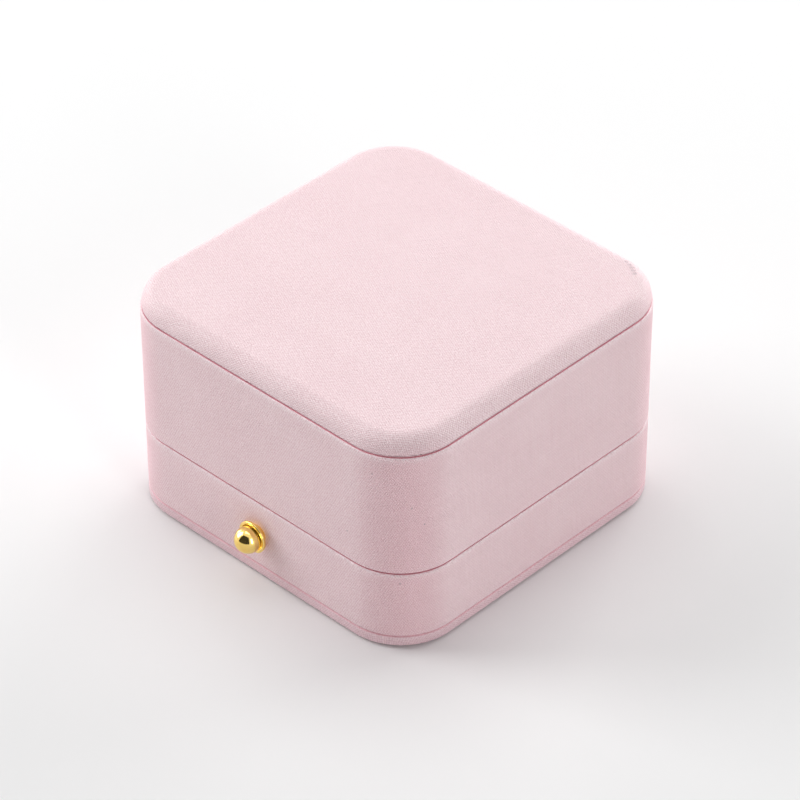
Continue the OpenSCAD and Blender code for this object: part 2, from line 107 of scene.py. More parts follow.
def surface(name, points, uv=None, wrap_across=False, wrap_along=False, masks=None):
    """Mesh of a grid of points, rows by columns. A wrapped direction joins its last line to its first.
    The faces are turned so that the enclosed volume is positive. The UV map has its own lines beyond a
    wrapped edge, where its values don't return to the first."""
    rows, columns = points.shape[:2]
    i = np.arange(rows if wrap_along else rows - 1)
    j = np.arange(columns if wrap_across else columns - 1)
    i, j = np.meshgrid(i, j, indexing="ij")
    i2, j2 = i + 1, j + 1
    ids = np.stack([(i, j), (i, j2), (i2, j2), (i2, j)], 0)
    quads = (ids[:, 0] % rows * columns + ids[:, 1] % columns).reshape(4, -1).T
    flat = points.reshape(-1, 3)
    a, b, c, d = (flat[quads[:, k]] for k in range(4))
    volume = np.einsum("ij,ij->i", a, np.cross(b, c) + np.cross(c, d)).sum()
    order = [0, 1, 2, 3] if volume > 0 else [3, 2, 1, 0]
    quads = quads[:, order]
    mesh = bpy.data.meshes.new(name)
    mesh.vertices.add(len(flat))
    mesh.vertices.foreach_set("co", flat.astype(np.float32).ravel())
    mesh.loops.add(quads.size)
    mesh.loops.foreach_set("vertex_index", quads.astype(np.int32).ravel())
    mesh.polygons.add(len(quads))
    mesh.polygons.foreach_set("loop_start", np.arange(0, quads.size, 4, dtype=np.int32))
    mesh.polygons.foreach_set("use_smooth", np.ones(len(quads), bool))
    if uv is not None:
        u_rows, u_columns = uv.shape[:2]
        rows_of = np.minimum(ids[:, 0], u_rows - 1).reshape(4, -1)[order]
        columns_of = np.minimum(ids[:, 1], u_columns - 1).reshape(4, -1)[order]
        values = uv[rows_of, columns_of].transpose(1, 0, 2)
        mesh.uv_layers.new(name="threads").data.foreach_set("uv", values.astype(np.float32).ravel())
    for label, values in (masks or {}).items():
        layer = mesh.attributes.new(label, "FLOAT", "POINT")
        layer.data.foreach_set("value", values.astype(np.float32).ravel())
    mesh.update(calc_edges=True)
    mesh.validate()
    piece = bpy.data.objects.new(name, mesh)
    bpy.context.scene.collection.objects.link(piece)
    return piece


def weld(piece, distance=0.001 * MM):
    """Merges points that fall together, such as those of a pole."""
    bm = bmesh.new()
    bm.from_mesh(piece.data)
    bmesh.ops.remove_doubles(bm, verts=bm.verts, dist=distance)
    bmesh.ops.dissolve_degenerate(bm, edges=bm.edges, dist=distance / 10)
    bm.to_mesh(piece.data)
    bm.free()
    return piece


class Outline:
    """Round-cornered square seen from above. A point of it is a centre plus the corner radius times
    the outward normal; on the straight stretches the centre moves and on the corners the normal turns.
    Stations are more places along the back, where the hinge's groove starts and ends."""

    def __init__(self, half, radius, stations=()):
        core = half - radius
        straight = np.linspace(-1, 1, SIDE_STEPS + 1)
        turn = np.linspace(0, math.pi / 2, CORNER_STEPS + 1)[1:-1]
        centres, normals = [], []
        for quarter in range(4):
            along = straight * core
            if quarter == 0 and len(stations):
                along = np.unique(np.concatenate([along, stations]))
            angle = math.pi / 2 * (1 - quarter)
            out = np.array([math.cos(angle), math.sin(angle)])
            ahead = np.array([out[1], -out[0]])
            centres.append(out * core + along[:, None] * ahead)
            normals.append(np.tile(out, (len(along), 1)))
            corner = out * core + core * ahead
            centres.append(np.tile(corner, (len(turn), 1)))
            normals.append(np.stack([np.cos(angle - turn), np.sin(angle - turn)], -1))
        self.centre = np.concatenate(centres)
        self.normal = np.concatenate(normals)
        self.radius = radius
        ring = self.ring(0)
        steps = np.linalg.norm(np.roll(ring, -1, 0) - ring, axis=1)
        self.length = np.concatenate([[0], np.cumsum(steps)])
        self.back = (self.normal[:, 1] > 0.999) & (np.abs(ring[:, 0]) < GROOVE_HALF)

    def ring(self, inset):
        """The outline's points, moved inwards."""
        return self.centre + (self.radius - inset) * self.normal

    def turning(self):
        """How much a point is on a corner: 0 on the sides, 1 at the corners' middles."""
        return 2 * np.abs(self.normal[:, 0] * self.normal[:, 1])


def smooth_step(a, b, t):
    """Cubic step from 0 at a to 1 at b."""
    s = np.clip((t - a) / (b - a), 0, 1)
    return s * s * (3 - 2 * s)


def arc(centre, radius, start, end, count):
    """Points (inset, z) on an arc, with angles in degrees from the direction of growing inset."""
    t = np.radians(np.linspace(start, end, count))
    return np.stack([centre[0] + radius * np.cos(t), centre[1] + radius * np.sin(t)], -1)


def line(a, b, count):
    """Points on a straight stretch, without its ends."""
    t = np.linspace(0, 1, count + 2)[1:-1, None]
    return np.array(a) * (1 - t) + np.array(b) * t


def path_length(profile):
    """Length along a profile, from its first point."""
    return np.concatenate([[0], np.cumsum(np.linalg.norm(np.diff(profile, axis=0), axis=1))])


def heading(path):
    """Unit directions along a path at its points."""
    ahead = np.gradient(path, axis=0)
    return ahead / np.linalg.norm(ahead, axis=1)[:, None]


def carried(name, outline, profile, back_profile=None, ripple=0.0, seed=1):
    """Closed profile of (inset, z) carried round the outline. Columns at the hinge take another profile of
    as many points. The ripple moves the surface in and out by a few slow sine waves of height and length.
    Four masks guide the cloth's colour: rims paled by wear and a painted highlight, painted rose shade in
    the seam gaps under them, painted shade on the corners, and how strongly a painted raking light brings
    out the threads and their glints."""
    shape = np.repeat(profile[:, None, :], len(outline.centre), axis=1)
    if back_profile is not None:
        shape[:, outline.back] = back_profile[:, None, :]
    u = outline.length[:-1]
    z = shape[:, :, 1]
    rng = np.random.default_rng(seed)
    wave = np.zeros_like(z)
    wave_count = 6
    for _ in range(wave_count):
        turns = rng.integers(3, 14)
        wave += np.sin(2 * math.pi * turns * u / outline.length[-1] + rng.uniform(0, 6.28)
                       + z / MM * rng.uniform(-0.12, 0.12)) / wave_count
    outer = np.clip(1 - shape[:, :, 0] / SKIN, 0, 1)
    inset = shape[:, :, 0] + ripple * wave * outer + ripple * outer
    points = np.empty((len(profile), len(u), 3))
    points[:, :, :2] = outline.centre + (outline.radius - inset)[..., None] * outline.normal
    points[:, :, 2] = z
    v = path_length(np.concatenate([profile, profile[:1]]))
    uv = np.empty((len(v), len(outline.length), 2))
    uv[:, :, 0] = outline.length / MM
    uv[:, :, 1] = v[:, None] / MM
    top, bottom = profile[:, 1].max(), profile[:, 1].min()
    # The pale band on the rims is wear and a painted highlight; the upper rims, which face the light, get
    # most of it.
    top_wear_and_highlight, bottom_wear_and_highlight = 1.3, 0.3
    wear_and_highlight = top_wear_and_highlight * np.exp((z - top) / EDGE_REACH) + bottom_wear_and_highlight * np.exp((bottom - z) / EDGE_REACH)
    # Painted rose shade on the cover where it turns in over the rims, in the seam gaps.
    crease_shade_in = smooth_step(0.25 * MM, 0.42 * MM, shape[:, :, 0])
    crease_shade_out = smooth_step(0.9 * MM, 0.55 * MM, shape[:, :, 0])
    # Painted raking light: the weave and its glints show most on the faces towards the front and back and
    # least on the sides.
    side_raking_light = 0.25
    masks = {
        "edge": np.clip(wear_and_highlight * outer, 0, 1),
        "crease_shade": crease_shade_in * crease_shade_out,
        # Painted shade on the corners.
        "turn": outer * outline.turning(),
        "raking_light": side_raking_light + (1 - side_raking_light) * np.abs(outline.normal[:, 1]) * np.ones_like(z),
    }
    return surface(name, points, uv, True, True, masks)


def wall_profile(bottom, top, turn_in, groove_at=None, groove_top=False):
    """Cover of a wall as a closed profile: up the outside, in over the top rim, down behind the cover and
    out under the bottom rim. At the hinge, one rim becomes a hollow quarter round on the hinge's axis."""
    r, t = RIM_R, SKIN
    lip = 0.3 * MM  # round where the cover ends
    low_rim = [line((turn_in, bottom), (r, bottom), 8), arc((r, bottom + r), r, 270, 180, 9)]
    high_rim = [arc((r, top - r), r, 180, 90, 9), line((r, top), (turn_in - lip, top), 8)]
    high_lip = [arc((turn_in - lip, top - lip), lip, 90, 0, 5)]
    high_back = [line((turn_in, top - t), (t, top - t), 8), [(t, top - t)]]
    low_back = [[(t, bottom + t)], line((t, bottom + t), (turn_in, bottom + t), 8)]
    low_lip = [arc((turn_in - lip, bottom + lip), lip, 0, -90, 5)]
    if groove_at is not None and not groove_top:
        low_rim = [line((turn_in, bottom), (GROOVE_R, bottom), 8), arc((0, groove_at), GROOVE_R, 0, 90, 9)]
        reach = GROOVE_R + t
        low_back = [[(t, groove_at + reach)], arc((0, groove_at), reach, 75, 5, 8)]
        low_start = groove_at + GROOVE_R
    else:
        low_start = bottom + r
    if groove_at is not None and groove_top:
        high_rim = [arc((0, groove_at), GROOVE_R, -90, 0, 9), line((GROOVE_R, top), (turn_in - lip, top), 8)]
        reach = GROOVE_R + t
        high_back = [arc((0, groove_at), reach, -5, -75, 8), [(t, groove_at - reach)]]
        high_end = groove_at - GROOVE_R
    else:
        high_end = top - r
    middle = line((0, low_start), (0, high_end), 26)
    behind = line(high_back[-1][-1], low_back[0][0], 6)
    parts = low_rim + [middle] + high_rim + high_lip + high_back + [behind] + low_back + low_lip
    return np.concatenate([np.asarray(p, float).reshape(-1, 2) for p in parts])


def pad(name, outline, profile, heights, rings, flat_from, seam_at=0.0, seam_wear_and_highlight=0.0, corner_shade=0.0):
    """Closed pad. The profile of (inset, z) runs from under the pad round its edge to its top; within its
    first and last points the rings shrink evenly to the middle. heights(points) moves the surface. The cloth
    lies flat within the profile's point flat_from, and outside it goes on by the profile's length. The seam
    lies seam_at above the pad's lowest point; the next argument is how strongly wear and a painted highlight
    pale it, and painted rose shade runs along the seam where it is paled less. The last argument is how much
    painted shade deepens the colour low on the corners."""
    count = len(outline.centre)
    shape = np.empty((len(profile), count, 3))
    shape[:, :, :2] = outline.centre + (outline.radius - profile[:, 0])[:, None, None] * outline.normal
    shape[:, :, 2] = profile[:, 1][:, None]
    shrink = np.linspace(1, 0, rings + 1)[1:]
    shrink[-1] = 1e-4
    under = shape[:1] * np.array([1, 1, 0]) * shrink[::-1, None, None]
    under[:, :, 2] = profile[0, 1]
    over = shape[-1:] * np.array([1, 1, 0]) * shrink[:, None, None]
    over[:, :, 2] = profile[-1, 1]
    points = np.concatenate([under, shape, over])
    s = path_length(profile)
    reach = outline.radius - profile[flat_from, 0] + (s[flat_from] - s)
    flat = outline.centre + reach[:, None, None] * outline.normal
    uv = np.concatenate([under[:, :, :2], flat, over[:, :, :2]])
    uv = np.concatenate([uv, uv[:, :1]], 1) / MM
    if heights is not None:
        points = heights(points)
    height = points[:, :, 2] - points[:, :, 2].min()
    # Masks for the colour: the seam's pale line, which is wear and a painted highlight; painted rose shade
    # along the seam; painted shade low on the corners; and a fixed share of the painted raking light on the
    # weave.
    from_seam = np.abs(height - seam_at)
    from_crease_shade = np.abs(height - seam_at - 0.1 * MM)
    crease_shade_reach, corner_shade_reach, pad_raking_light = 0.3 * MM, 4 * MM, 0.85
    masks = {
        "edge": seam_wear_and_highlight * np.exp(-from_seam / EDGE_REACH),
        "crease_shade": np.clip(1 - from_crease_shade / crease_shade_reach, 0, 1) * (1 - seam_wear_and_highlight),
        "turn": corner_shade * outline.turning() * np.clip(1 - height / corner_shade_reach, 0, 1),
        "raking_light": np.full_like(height, pad_raking_light),
    }
    return weld(surface(name, points, uv, True, False, masks))


def turned(name, profile, centre, count=96):
    """Profile of (radius, distance) turned about the axis that leaves the centre towards the front."""
    t = np.linspace(0, 2 * math.pi, count, endpoint=False)
    radius, along = profile[:, 0][:, None], profile[:, 1][:, None]
    points = np.empty((len(profile), count, 3))
    points[:, :, 0] = centre[0] + radius * np.cos(t)
    points[:, :, 1] = centre[1] - along
    points[:, :, 2] = centre[2] + radius * np.sin(t)
    return weld(surface(name, points, None, True, False))


def tube(name, path, radius, sides=12):
    """Round wire along a path: a circle in the plane across the path at each point, with flat ends."""
    ahead = heading(path)
    across = np.cross(ahead, [1, 0.02, 0.03])  # any direction that the path never takes
    across /= np.linalg.norm(across, axis=1)[:, None]
    over = np.cross(ahead, across)
    t = np.linspace(0, 2 * math.pi, sides, endpoint=False)
    ring = np.cos(t)[None, :, None] * across[:, None] + np.sin(t)[None, :, None] * over[:, None]
    points = path[:, None] + radius * ring
    ends = np.repeat(path[[0, -1], None], sides, 1)
    points = np.concatenate([ends[:1], points, ends[1:]])
    return weld(surface(name, points, None, True, False))


def place(piece, body, slot, *nodes):
    """Puts a piece on its body and hides the CAD nodes that it stands for. The slot is not used."""
    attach(piece, body)
    if nodes:
        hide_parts(*nodes)
    return piece


# ---- outer covers ----

GROOVE_STEP = 0.02 * MM  # the groove's ends rise to the plain rim within twice this
HINGE_EDGES = np.array([-GROOVE_HALF - GROOVE_STEP, -GROOVE_HALF + GROOVE_STEP,
                        GROOVE_HALF - GROOVE_STEP, GROOVE_HALF + GROOVE_STEP])
case_outline = Outline(HALF_W, CORNER_R, HINGE_EDGES)


def lid_wall_cover():
    """Leatherette round the lid's wall, turned in over both rims."""
    plain = wall_profile(LID_RIM, LID_TOP, LINING_OUT)
    hinge = wall_profile(LID_RIM, LID_TOP, LINING_OUT, PARTING)
    piece = carried("lid_wall_leatherette", case_outline, plain, hinge, 0.035 * MM, 4)
    return place(piece, "lid", "cover", "lid_cover")


def base_wall_cover():
    """Leatherette round the base's wall."""
    plain = wall_profile(BASE_LOW, BASE_RIM, LINING_OUT)
    hinge = wall_profile(BASE_LOW, BASE_RIM, LINING_OUT, PARTING, True)
    piece = carried("base_wall_leatherette", case_outline, plain, hinge, 0.03 * MM, 9)
    return place(piece, "base", "cover", "base_cover")


def bottom_plate_cover():
    """Wrapped bottom plate: flat on both sides, with softly rolled edges. Its seam is where the upper edge
    meets the wall."""
    r_low, r_high = 0.9 * MM, 0.75 * MM
    flange = 7 * MM
    seam_at = PLATE_HIGH - PLATE_LOW - 0.3 * MM
    profile = np.concatenate([
        [(flange, PLATE_LOW)],
        line((flange, PLATE_LOW), (r_low, PLATE_LOW), 6),
        arc((r_low, PLATE_LOW + r_low), r_low, 270, 180, 9),
        line((0, PLATE_LOW + r_low), (0, PLATE_HIGH - r_high), 4),
        arc((r_high, PLATE_HIGH - r_high), r_high, 180, 90, 9),
        line((r_high, PLATE_HIGH), (flange, PLATE_HIGH), 6),
        [(flange, PLATE_HIGH)],
    ])
    low_arc_middle = 11
    # The plate's seam gets a pale line on its rolled edge, wear and a painted highlight.
    piece = pad("bottom_plate_leatherette", case_outline, profile, None, 6, low_arc_middle, seam_at, 0.45)
    return place(piece, "base", "cover", "bottom_cover")


def padded_top():
    """Padded top. Its side rises from a small roll at the seam into a shoulder like a superellipse, and
    the top swells by the root of a product of cosines."""
    roll = 0.45 * MM
    shoulder_r = 4.1 * MM
    drop = 4.3 * MM
    crown = 0.45 * MM
    rim = TOP_HIGH - crown
    t = np.linspace(0, math.pi / 2, 26)
    power = 2 / 2.15  # of a superellipse of degree 2.15
    shoulder = np.stack([
        TOP_INSET + shoulder_r * (1 - np.cos(t) ** power),
        rim - drop + drop * np.sin(t) ** power,
    ], -1)
    shelf = (TOP_INSET + 9 * MM, rim)
    under = (TOP_INSET + 6 * MM, TOP_LOW)
    profile = np.concatenate([
        [under],
        line(under, (TOP_INSET + roll, TOP_LOW), 5),
        arc((TOP_INSET + roll, TOP_LOW + roll), roll, 270, 180, 7),
        shoulder,
        line(shoulder[-1], shelf, 6),
        [shelf],
    ])

    def swell(points):
        x, y, z = points[..., 0], points[..., 1], points[..., 2]
        reach = HALF_W - TOP_INSET
        bulge = np.cos(x / reach * math.pi / 2) * np.cos(y / reach * math.pi / 2)
        share = np.clip((z - (rim - drop)) / drop, 0, 1) ** 2
        points[..., 2] = z + crown * np.sqrt(np.clip(bulge, 0, 1)) * share
        return points

    shoulder_end = -9
    # Painted shade deepens the colour low on the pad's corners.
    piece = pad("padded_top_leatherette", case_outline, profile, swell, 24, shoulder_end, corner_shade=0.9)
    return place(piece, "lid", "cover", "top_cover", "top_foam")


# ---- the lined room ----

room_outline = Outline(HALF_W - LINING_OUT, CORNER_R - LINING_OUT)


def wall_lining(name, body, node, bottom, top):
    """Velvet on a wall, with softly rounded edges."""
    r = LINING_T / 2
    profile = np.concatenate([
        arc((r, top - r), r, 180, 0, 9),
        line((2 * r, top - r), (2 * r, bottom + r), 24),
        arc((r, bottom + r), r, 0, -180, 9),
        line((0, bottom + r), (0, top - r), 6),
    ])
    return place(carried(name, room_outline, profile), body, "velvet", node)


def square_grid(half, radius, steps, skirt_rows):
    """Grid over a round-cornered square, with rows beyond its edge for a skirt. A point of the plain square
    moves out or in along its ray until the square's edge falls on the outline, more so near the edge.
    Returns x, y and how far down the skirt a point is, from 0 to 1."""
    inner = np.linspace(-1, 1, steps)
    outer = 1 + np.arange(1, skirt_rows + 1) / skirt_rows
    g = np.concatenate([-outer[::-1], inner, outer])
    gx, gy = np.meshgrid(g, g, indexing="ij")
    m = np.maximum(np.abs(gx), np.abs(gy))
    down = np.clip(m - 1, 0, 1)
    px, py = gx / np.maximum(m, 1), gy / np.maximum(m, 1)
    m = np.minimum(m, 1)
    dx, dy = np.abs(px) / np.maximum(m, 1e-9), np.abs(py) / np.maximum(m, 1e-9)
    core = 1 - radius / half
    r = radius / half
    a, b = dx * dx + dy * dy, core * (dx + dy)
    c = 2 * core * core - r * r
    root = (b + np.sqrt(np.maximum(b * b - a * c, 0))) / a
    corner = (dx * root > core) & (dy * root > core) & (np.minimum(dx, dy) > core)
    ratio = np.where(corner, root, 1.0)
    k = 1 + (ratio - 1) * m ** 6
    return px * k * half, py * k * half, down


def distance_inside(x, y, half, radius):
    """Distance of a point to a round-cornered square's outline, positive inside."""
    qx, qy = np.abs(x) - (half - radius), np.abs(y) - (half - radius)
    outside = np.hypot(np.maximum(qx, 0), np.maximum(qy, 0))
    return radius - outside - np.minimum(np.maximum(qx, qy), 0)


def insert_pad():
    """Velvet-covered insert: a height over the plan, with a rolled edge, a tray for the two rolls and a
    notch for the latch's housing. The velvet sinks a little towards the tray."""
    edge_r = 1.6 * MM
    tray_lip, tray_room, tray_share = 0.9 * MM, 0.5 * MM, 0.9
    sink, sink_reach = 0.35 * MM, 5 * MM
    notch_lip, notch_room = 0.4 * MM, 0.35 * MM
    box_low, box_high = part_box("insert_cover")
    half = box_high.x
    radius = CORNER_R - (HALF_W - half)
    x, y, down = square_grid(half, radius, 190, 8)
    top, floor = box_high.z, box_low.z
    inside = distance_inside(x, y, half, radius)
    fall = edge_r - np.sqrt(np.maximum(edge_r ** 2 - np.clip(edge_r - inside, 0, edge_r) ** 2, 0))
    z = top - fall
    rolls_low, rolls_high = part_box("ring_rolls")
    tray_x = smooth_step(-tray_lip, tray_lip, rolls_high.x + tray_room - np.abs(x))
    tray_y = smooth_step(-tray_lip, tray_lip, rolls_high.y + tray_room - np.abs(y))
    from_tray = np.maximum(np.maximum(np.abs(x) - rolls_high.x, np.abs(y) - rolls_high.y), 0)
    soft = np.exp(-from_tray / sink_reach)
    z = z - sink * soft - (top - rolls_low.z) * tray_share * tray_x * tray_y
    house_high = high("latch_housing")
    notch_x = smooth_step(-notch_lip, notch_lip, house_high.x + notch_room - np.abs(x))
    notch_y = smooth_step(-notch_lip, notch_lip, house_high.y + notch_room - y)
    z = z - (z - floor) * notch_x * notch_y
    z = z - down * (z - floor)
    points = np.stack([x, y, z], -1)
    uv = points[..., :2] / MM
    piece = surface("insert_velvet", points, uv)
    weld(piece)
    return place(piece, "base", "velvet", "insert_cover", "insert_foam")


def ring_roll(side):
    """Stuffed velvet roll: a round bar whose ends close like a superellipse of degree 16. Its radius swells
    slightly along its length, and the gathers are a fine cosine near the ends."""
    box_low, box_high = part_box("ring_rolls")
    radius = (box_high.z - box_low.z) / 2
    middle_z = (box_high.z + box_low.z) / 2
    middle_y = side * (box_high.y - radius)
    length = box_high.x
    t = np.linspace(-1, 1, 90)
    s = np.linspace(0, 2 * math.pi, 96, endpoint=False)
    swelling, gather_depth, gather_count = 0.012, 0.05, 18
    body = (1 - np.abs(t) ** 16) ** 0.5
    swell = 1 + swelling * np.cos(5 * t) - swelling
    gathers = 1 - gather_depth * (np.abs(t[:, None]) ** 14) * (1 + np.cos(gather_count * s))
    r = radius * body[:, None] * swell[:, None] * gathers
    x = length * np.sign(t) * np.abs(t) ** 0.9
    points = np.empty((len(t), len(s), 3))
    points[..., 0] = x[:, None]
    points[..., 1] = middle_y + r * np.cos(s)
    points[..., 2] = middle_z + r * np.sin(s)
    ends = np.concatenate([s, [2 * math.pi]])
    uv = np.stack(np.broadcast_arrays(x[:, None] / MM, radius * ends[None] / MM), -1)
    piece = weld(surface("ring_roll_" + ("back" if side > 0 else "front"), points, uv, True))
    return place(piece, "base", "velvet", "ring_rolls")


def strip(centre, loop_x, loop_side):
    """Points of a strip: a loop of (x, distance from the middle line) carried along a middle line of (y, z),
    and closed by a point at each end."""
    ahead = heading(centre)
    out = np.stack([ahead[:, 1], -ahead[:, 0]], -1)
    points = np.empty((len(centre), loop_x.shape[-1], 3))
    points[..., 0] = loop_x
    points[..., 1] = centre[:, 0, None] + out[:, 0, None] * loop_side
    points[..., 2] = centre[:, 1, None] + out[:, 1, None] * loop_side
    cap = np.repeat(points.mean(1, keepdims=True), loop_x.shape[-1], 1)
    return np.concatenate([cap[:1], points, cap[-1:]])


def pull_ribbon():
    """Ribbon up the insert's back edge and over its top: a thin strip whose middle line bends by a quarter
    round, with a slight wave across."""
    box_low, box_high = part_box("insert_pull_tab")
    thick = 0.22 * MM
    bend = 1.5 * MM
    wave = 0.3 * MM
    lift = 0.05 * MM
    back, top = box_high.y - thick / 2, box_high.z - thick / 2 + lift
    t = np.linspace(0, math.pi / 2, 12)
    rise = np.stack([np.full(8, back), np.linspace(box_low.z, top - bend, 8)], -1)
    turn = np.stack([back - bend + bend * np.cos(t), top - bend + bend * np.sin(t)], -1)
    flat = np.stack([np.linspace(back - bend, box_low.y, 20), np.full(20, top)], -1)
    flat[:, 1] -= wave * smooth_step(0, 1, np.linspace(0, 1, 20)) * np.sin(np.linspace(0, 3, 20))
    centre = np.concatenate([rise, turn[1:], flat[1:]])
    half = box_high.x
    columns = 17
    across = np.linspace(-1, 1, columns)
    loop_x = np.concatenate([across, across[::-1]]) * half
    loop_side = np.repeat([0.5, -0.5], columns) * thick
    points = strip(centre, loop_x, loop_side)
    s = path_length(centre)
    s = np.concatenate([s[:1], s, s[-1:]])
    width = np.concatenate([loop_x, loop_x[:1]])
    uv = np.stack(np.broadcast_arrays(width[None] / MM, s[:, None] / MM), -1)
    piece = weld(surface("pull_ribbon", points, uv, True))
    return place(piece, "base", "ribbon", "insert_pull_tab")


def lid_satin():
    """Satin pad inside the lid: it hangs lower in the middle, and small gathers run in from its edge."""
    box_low, box_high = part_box("lid_pad_satin")
    half = box_high.x
    radius = CORNER_R - (HALF_W - half)
    outline = Outline(half, radius)
    edge_r = 2.6 * MM
    sag = 1.1 * MM
    gather_depth, gather_at, gather_reach = 0.16 * MM, 2.5 * MM, 3.2 * MM
    rim = box_low.z + sag
    t = np.linspace(0, math.pi / 2, 22)
    roll = np.stack([edge_r * (1 - np.cos(t)), rim + edge_r * (1 - np.sin(t))], -1)
    shelf = (10 * MM, rim)
    behind = (8 * MM, box_high.z)
    profile = np.concatenate([
        [behind],
        line(behind, (0, box_high.z), 5),
        [(0, box_high.z)],
        roll,
        line(roll[-1], shelf, 10),
        [shelf],
    ])

    def sink(points):
        x, y, z = points[..., 0], points[..., 1], points[..., 2]
        bulge = np.clip(np.cos(x / half * math.pi / 2) * np.cos(y / half * math.pi / 2), 0, 1) ** 0.7
        share = np.clip((box_high.z - z) / (box_high.z - rim), 0, 1) ** 2
        angle = np.arctan2(y, x)
        inside = distance_inside(x, y, half, radius)
        pucker = np.zeros_like(x)
        for k, (turns, phase) in enumerate(((61, 0.3), (83, 1.9), (47, 4.1))):
            pucker += np.sin(turns * angle + phase + 0.9 * np.sin(5 * angle + k)) / 3
        gathers = gather_depth * pucker * np.exp(-np.abs(inside - gather_at) / gather_reach)
        points[..., 2] = z - (sag * bulge + gathers - gather_depth) * share
        return points

    roll_end = -13
    piece = pad("lid_satin_pad", outline, profile, sink, 26, roll_end)
    return place(piece, "lid", "satin", "lid_pad_satin", "lid_pad_foam")


# ---- metal ----


def button_knob():
    """Ball and stem turned in one piece. The ball is cut off behind its widest circle, with a round edge."""
    box_low, box_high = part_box("push_button")
    ball_r = box_high.z - BUTTON_Z
    ball_out = FRONT - box_low.y - ball_r
    edge = 0.1 * MM
    stem_end = FRONT - box_high.y
    cut = math.asin((ball_out - BALL_BACK - edge) / ball_r)
    t = np.linspace(-cut, math.pi / 2, 60)
    sphere = np.stack([ball_r * np.cos(t), ball_out + ball_r * np.sin(t)], -1)
    sphere[-1, 0] = 0
    profile = np.concatenate([
        [(0, stem_end), (STEM_R, stem_end), (STEM_R, BALL_BACK)],
        arc((sphere[0, 0] - edge, BALL_BACK + edge), edge, -90, -10, 6),
        sphere,
    ])
    piece = turned("button_knob", profile, (0, FRONT, BUTTON_Z))
    return place(piece, "button", "brass", "push_button")


def bezel_ring():
    """Bezel through the wall: a tube that flares out by a hollow quarter of an ellipse into a thin flange
    with rounded edges, and a recess for the back of the ball."""
    flange_r = high("button_bezel").z - BUTTON_Z
    front = FRONT - low("button_bezel").y
    back = FRONT - high("button_bezel").y
    tube_r, bore_r = 2.6 * MM, STEM_R + 0.08 * MM
    edge, back_edge, lip = 0.25 * MM, 0.35 * MM, 0.12 * MM
    flare_low, flare_high = 0.1 * MM, 1.25 * MM
    recess_r = high("push_button").z - BUTTON_Z + 0.06 * MM
    recess_floor = BALL_BACK - BUTTON_TRAVEL - 0.05 * MM
    t = np.linspace(0, math.pi / 2, 12)
    flare = np.stack([
        tube_r + (flange_r - back_edge - tube_r) * (1 - np.cos(t)),
        flare_low + (flare_high - flare_low) * np.sin(t),
    ], -1)
    profile = np.concatenate([
        [(bore_r, back), (tube_r, back), (tube_r, 0)],
        flare,
        arc((flange_r - back_edge, flare_high + back_edge), back_edge, -90, 0, 8)[1:],
        arc((flange_r - edge, front - edge), edge, 0, 90, 10),
        arc((recess_r + lip, front - lip), lip, 90, 180, 6),
        [(recess_r, recess_floor), (bore_r, recess_floor), (bore_r, back)],
    ])
    piece = turned("bezel_ring", profile, (0, FRONT, BUTTON_Z))
    return place(piece, "base", "brass", "button_bezel")


def hinge_coil():
    """Torsion spring: a helix round the hinge's axis with one leg in the base and one in the lid."""
    half, coil_r, wire_r, leg = 4.6 * MM, 1.15 * MM, 0.2 * MM, 4 * MM
    turns = 7
    t = np.linspace(0, 1, turns * 40)
    helix = np.stack([
        -half + 2 * half * t,
        -coil_r * np.cos(2 * math.pi * turns * t),
        coil_r * np.sin(2 * math.pi * turns * t),
    ], -1)
    legs = np.linspace(leg, 0.1 * leg, 10)
    start = np.stack([np.full(10, -half), np.full(10, -coil_r), -legs], -1)
    end = np.stack([np.full(10, half), np.full(10, -coil_r), legs[::-1]], -1)
    path = np.concatenate([start, helix, end]) + np.array([0, HALF_W, PARTING])
    piece = tube("hinge_coil", path, wire_r)
    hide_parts("hinge_spring")
    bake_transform(piece)
    return piece


def latch_leaf():
    """Bent spring leaf: a strip that follows the floor, bends up in a quarter round and ends in a hooked
    nose, which is narrower. The middle line is thickened both ways and the strip's edges are square."""
    box_low, box_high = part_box("latch_spring")
    thick = 0.4 * MM
    bend = 0.9 * MM
    foot_length = 4.4 * MM
    nose_low, nose_rise, nose_r, nose_share = 18.9 * MM, 1.2 * MM, 0.5 * MM, 0.84
    floor = box_low.z + thick / 2
    nose = nose_low + nose_rise
    stem = box_high.y - foot_length
    t = np.linspace(0, math.pi / 2, 10)
    foot = np.stack([np.linspace(box_high.y, stem + bend, 8), np.full(8, floor)], -1)
    elbow = np.stack([stem + bend - bend * np.sin(t), floor + bend - bend * np.cos(t)], -1)
    rise = np.stack([np.full(20, stem), np.linspace(floor + bend, nose, 20)], -1)
    tip = np.stack([stem - nose_r * (1 - np.cos(t)), nose + nose_r * np.sin(t)], -1)
    hook = np.array([[box_low.y + 0.25 * MM, nose_low + nose_rise / 2]])
    centre = np.concatenate([foot, elbow[1:], rise[1:], tip[1:], hook])
    half = np.full(len(centre), box_high.x)
    half[-8:] = box_high.x * nose_share
    corner = np.array([[-1, 0.5], [1, 0.5], [1, -0.5], [-1, -0.5]])
    points = strip(centre, half[:, None] * corner[:, 0], corner[:, 1] * thick)
    piece = weld(surface("latch_leaf", points, None, True, False))
    for polygon in piece.data.polygons:
        polygon.use_smooth = False
    return place(piece, "base", "steel", "latch_spring")


# ---- materials ----


